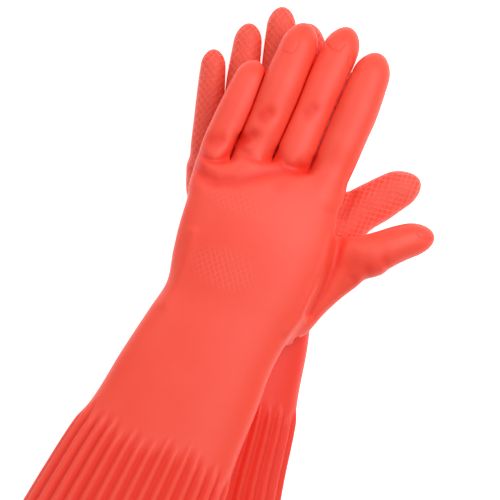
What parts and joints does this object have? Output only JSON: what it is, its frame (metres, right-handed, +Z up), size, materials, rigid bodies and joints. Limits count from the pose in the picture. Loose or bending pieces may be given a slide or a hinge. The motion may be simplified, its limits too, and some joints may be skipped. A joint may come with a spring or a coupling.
{
  "type": "rubber gloves",
  "caption": "pair of long household rubber gloves with pleated, flared cuffs and a flock lining, the left one lying on the right one, palm to palm, with bending fingers and wrists",
  "frame": {"origin": "centre of the pair's outline, on the surface it lies on", "axes": "+Y along the gloves towards the fingertips, +Z up from the surface, +X across towards the thumbs"},
  "size_m": [0.206, 0.3832, 0.083],
  "materials": {
    "latex": "soft satin",
    "flock": "matte cotton flock"
  },
  "bodies": {
    "right_palm": {"right_hand": "latex", "right_hand_lining": "flock", "right_wrist_band": "latex", "right_thumb_knuckle": "latex", "right_index_knuckle": "latex", "right_middle_knuckle": "latex", "right_ring_knuckle": "latex", "right_little_knuckle": "latex"},
    "right_forearm": {"right_sleeve": "latex", "right_sleeve_lining": "flock", "right_cuff": "latex", "right_cuff_bead": "latex"},
    "right_thumb_root": {"right_thumb_base": "latex", "right_thumb_joint": "latex"},
    "right_thumb_end": {"right_thumb_tip": "latex"},
    "right_index_root": {"right_index_base": "latex", "right_index_joint": "latex"},
    "right_index_end": {"right_index_tip": "latex"},
    "right_middle_root": {"right_middle_base": "latex", "right_middle_joint": "latex"},
    "right_middle_end": {"right_middle_tip": "latex"},
    "right_ring_root": {"right_ring_base": "latex", "right_ring_joint": "latex"},
    "right_ring_end": {"right_ring_tip": "latex"},
    "right_little_root": {"right_little_base": "latex", "right_little_joint": "latex"},
    "right_little_end": {"right_little_tip": "latex"},
    "left_palm": {"left_hand": "latex", "left_hand_lining": "flock", "left_wrist_band": "latex", "left_thumb_knuckle": "latex", "left_index_knuckle": "latex", "left_middle_knuckle": "latex", "left_ring_knuckle": "latex", "left_little_knuckle": "latex"},
    "left_forearm": {"left_sleeve": "latex", "left_sleeve_lining": "flock", "left_cuff": "latex", "left_cuff_bead": "latex"},
    "left_thumb_root": {"left_thumb_base": "latex", "left_thumb_joint": "latex"},
    "left_thumb_end": {"left_thumb_tip": "latex"},
    "left_index_root": {"left_index_base": "latex", "left_index_joint": "latex"},
    "left_index_end": {"left_index_tip": "latex"},
    "left_middle_root": {"left_middle_base": "latex", "left_middle_joint": "latex"},
    "left_middle_end": {"left_middle_tip": "latex"},
    "left_ring_root": {"left_ring_base": "latex", "left_ring_joint": "latex"},
    "left_ring_end": {"left_ring_tip": "latex"},
    "left_little_root": {"left_little_base": "latex", "left_little_joint": "latex"},
    "left_little_end": {"left_little_tip": "latex"}
  },
  "joints": [
    {"name": "left_glove_lift", "type": "slide", "parent": "right_palm", "child": "left_palm", "axis": [0, 0, 1], "range_m": [0, 0.15]},
    {"name": "right_wrist_fold", "type": "hinge", "parent": "right_palm", "child": "right_forearm", "pos_m": [-0.00071, 0.00563, 0.0143], "axis": [0.989, 0.1478, 0], "range_deg": [0, 45], "stiffness_Nm_per_rad": 0.12, "deforming": ["right_wrist_band"]},
    {"name": "right_thumb_knuckle_bend", "type": "hinge", "parent": "right_palm", "child": "right_thumb_root", "pos_m": [0.05044, 0.0713, 0.0173], "axis": [0.7071, -0.7071, 0], "range_deg": [-45, 45], "stiffness_Nm_per_rad": 0.06, "deforming": ["right_thumb_knuckle"]},
    {"name": "right_thumb_tip_bend", "type": "hinge", "parent": "right_thumb_root", "child": "right_thumb_end", "pos_m": [0.0668, 0.08766, 0.0173], "axis": [0.7071, -0.7071, 0], "range_deg": [-45, 45], "stiffness_Nm_per_rad": 0.04, "deforming": ["right_thumb_joint"]},
    {"name": "right_index_knuckle_bend", "type": "hinge", "parent": "right_palm", "child": "right_index_root", "pos_m": [0.00705, 0.12796, 0.0108], "axis": [0.9681, 0.2504, 0], "range_deg": [-75, 5], "stiffness_Nm_per_rad": 0.06, "deforming": ["right_index_knuckle"]},
    {"name": "right_index_tip_bend", "type": "hinge", "parent": "right_index_root", "child": "right_index_end", "pos_m": [0.00027, 0.1542, 0.0108], "axis": [0.9681, 0.2504, 0], "range_deg": [-70, 12], "stiffness_Nm_per_rad": 0.04, "deforming": ["right_index_joint"]},
    {"name": "right_middle_knuckle_bend", "type": "hinge", "parent": "right_palm", "child": "right_middle_root", "pos_m": [-0.01725, 0.12488, 0.0108], "axis": [0.9781, 0.2079, 0], "range_deg": [-75, 0], "stiffness_Nm_per_rad": 0.06, "deforming": ["right_middle_knuckle"]},
    {"name": "right_middle_tip_bend", "type": "hinge", "parent": "right_middle_root", "child": "right_middle_end", "pos_m": [-0.02361, 0.15481, 0.0108], "axis": [0.9781, 0.2079, 0], "range_deg": [-70, 20], "stiffness_Nm_per_rad": 0.04, "deforming": ["right_middle_joint"]},
    {"name": "right_ring_knuckle_bend", "type": "hinge", "parent": "right_palm", "child": "right_ring_root", "pos_m": [-0.03913, 0.11319, 0.0108], "axis": [0.989, 0.1478, 0], "range_deg": [-75, 0], "stiffness_Nm_per_rad": 0.06, "deforming": ["right_ring_knuckle"]},
    {"name": "right_ring_tip_bend", "type": "hinge", "parent": "right_ring_root", "child": "right_ring_end", "pos_m": [-0.04341, 0.14182, 0.0108], "axis": [0.989, 0.1478, 0], "range_deg": [-70, 40], "stiffness_Nm_per_rad": 0.04, "deforming": ["right_ring_joint"]},
    {"name": "right_little_knuckle_bend", "type": "hinge", "parent": "right_palm", "child": "right_little_root", "pos_m": [-0.05592, 0.09458, 0.0108], "axis": [0.9863, 0.165, 0], "range_deg": [-75, 45], "stiffness_Nm_per_rad": 0.06, "deforming": ["right_little_knuckle"]},
    {"name": "right_little_tip_bend", "type": "hinge", "parent": "right_little_root", "child": "right_little_end", "pos_m": [-0.06036, 0.12108, 0.0108], "axis": [0.9863, 0.165, 0], "range_deg": [-70, 60], "stiffness_Nm_per_rad": 0.04, "deforming": ["right_little_joint"]},
    {"name": "left_wrist_fold", "type": "hinge", "parent": "left_palm", "child": "left_forearm", "pos_m": [-0.01108, -0.00815, 0.0485], "axis": [0.989, -0.1478, 0], "range_deg": [-45, 0], "stiffness_Nm_per_rad": 0.12, "deforming": ["left_wrist_band"]},
    {"name": "left_thumb_knuckle_bend", "type": "hinge", "parent": "left_palm", "child": "left_thumb_root", "pos_m": [0.05128, 0.0423, 0.04281], "axis": [0.552, -0.8331, 0.0337], "range_deg": [-45, 45], "stiffness_Nm_per_rad": 0.06, "deforming": ["left_thumb_knuckle"]},
    {"name": "left_thumb_tip_bend", "type": "hinge", "parent": "left_thumb_root", "child": "left_thumb_end", "pos_m": [0.07557, 0.05836, 0.04193], "axis": [0.552, -0.8331, 0.0337], "range_deg": [-45, 45], "stiffness_Nm_per_rad": 0.04, "deforming": ["left_thumb_joint"]},
    {"name": "left_index_knuckle_bend", "type": "hinge", "parent": "left_palm", "child": "left_index_root", "pos_m": [0.02857, 0.10786, 0.03952], "axis": [0.9928, -0.1202, -0.0013], "range_deg": [-20, 75], "stiffness_Nm_per_rad": 0.06, "deforming": ["left_index_knuckle"]},
    {"name": "left_index_tip_bend", "type": "hinge", "parent": "left_index_root", "child": "left_index_end", "pos_m": [0.03218, 0.13773, 0.03816], "axis": [0.9928, -0.1202, -0.0013], "range_deg": [-45, 70], "stiffness_Nm_per_rad": 0.04, "deforming": ["left_index_joint"]},
    {"name": "left_middle_knuckle_bend", "type": "hinge", "parent": "left_palm", "child": "left_middle_root", "pos_m": [0.00384, 0.112, 0.0395], "axis": [0.9936, -0.1132, -0.0016], "range_deg": [0, 75], "stiffness_Nm_per_rad": 0.06, "deforming": ["left_middle_knuckle"]},
    {"name": "left_middle_tip_bend", "type": "hinge", "parent": "left_middle_root", "child": "left_middle_end", "pos_m": [0.00776, 0.14642, 0.03793], "axis": [0.9936, -0.1132, -0.0016], "range_deg": [-12, 70], "stiffness_Nm_per_rad": 0.04, "deforming": ["left_middle_joint"]},
    {"name": "left_ring_knuckle_bend", "type": "hinge", "parent": "left_palm", "child": "left_ring_root", "pos_m": [-0.0211, 0.10743, 0.03987], "axis": [0.9936, -0.1132, -0.0016], "range_deg": [0, 75], "stiffness_Nm_per_rad": 0.06, "deforming": ["left_ring_knuckle"]},
    {"name": "left_ring_tip_bend", "type": "hinge", "parent": "left_ring_root", "child": "left_ring_end", "pos_m": [-0.01727, 0.14107, 0.03834], "axis": [0.9936, -0.1132, -0.0016], "range_deg": [-8, 70], "stiffness_Nm_per_rad": 0.04, "deforming": ["left_ring_joint"]},
    {"name": "left_little_knuckle_bend", "type": "hinge", "parent": "left_palm", "child": "left_little_root", "pos_m": [-0.04529, 0.09519, 0.04059], "axis": [0.9877, -0.1564, 0.0004], "range_deg": [-10, 75], "stiffness_Nm_per_rad": 0.06, "deforming": ["left_little_knuckle"]},
    {"name": "left_little_tip_bend", "type": "hinge", "parent": "left_little_root", "child": "left_little_end", "pos_m": [-0.04145, 0.11946, 0.03947], "axis": [0.9877, -0.1564, 0.0004], "range_deg": [-25, 70], "stiffness_Nm_per_rad": 0.04, "deforming": ["left_little_joint"]}
  ]
}
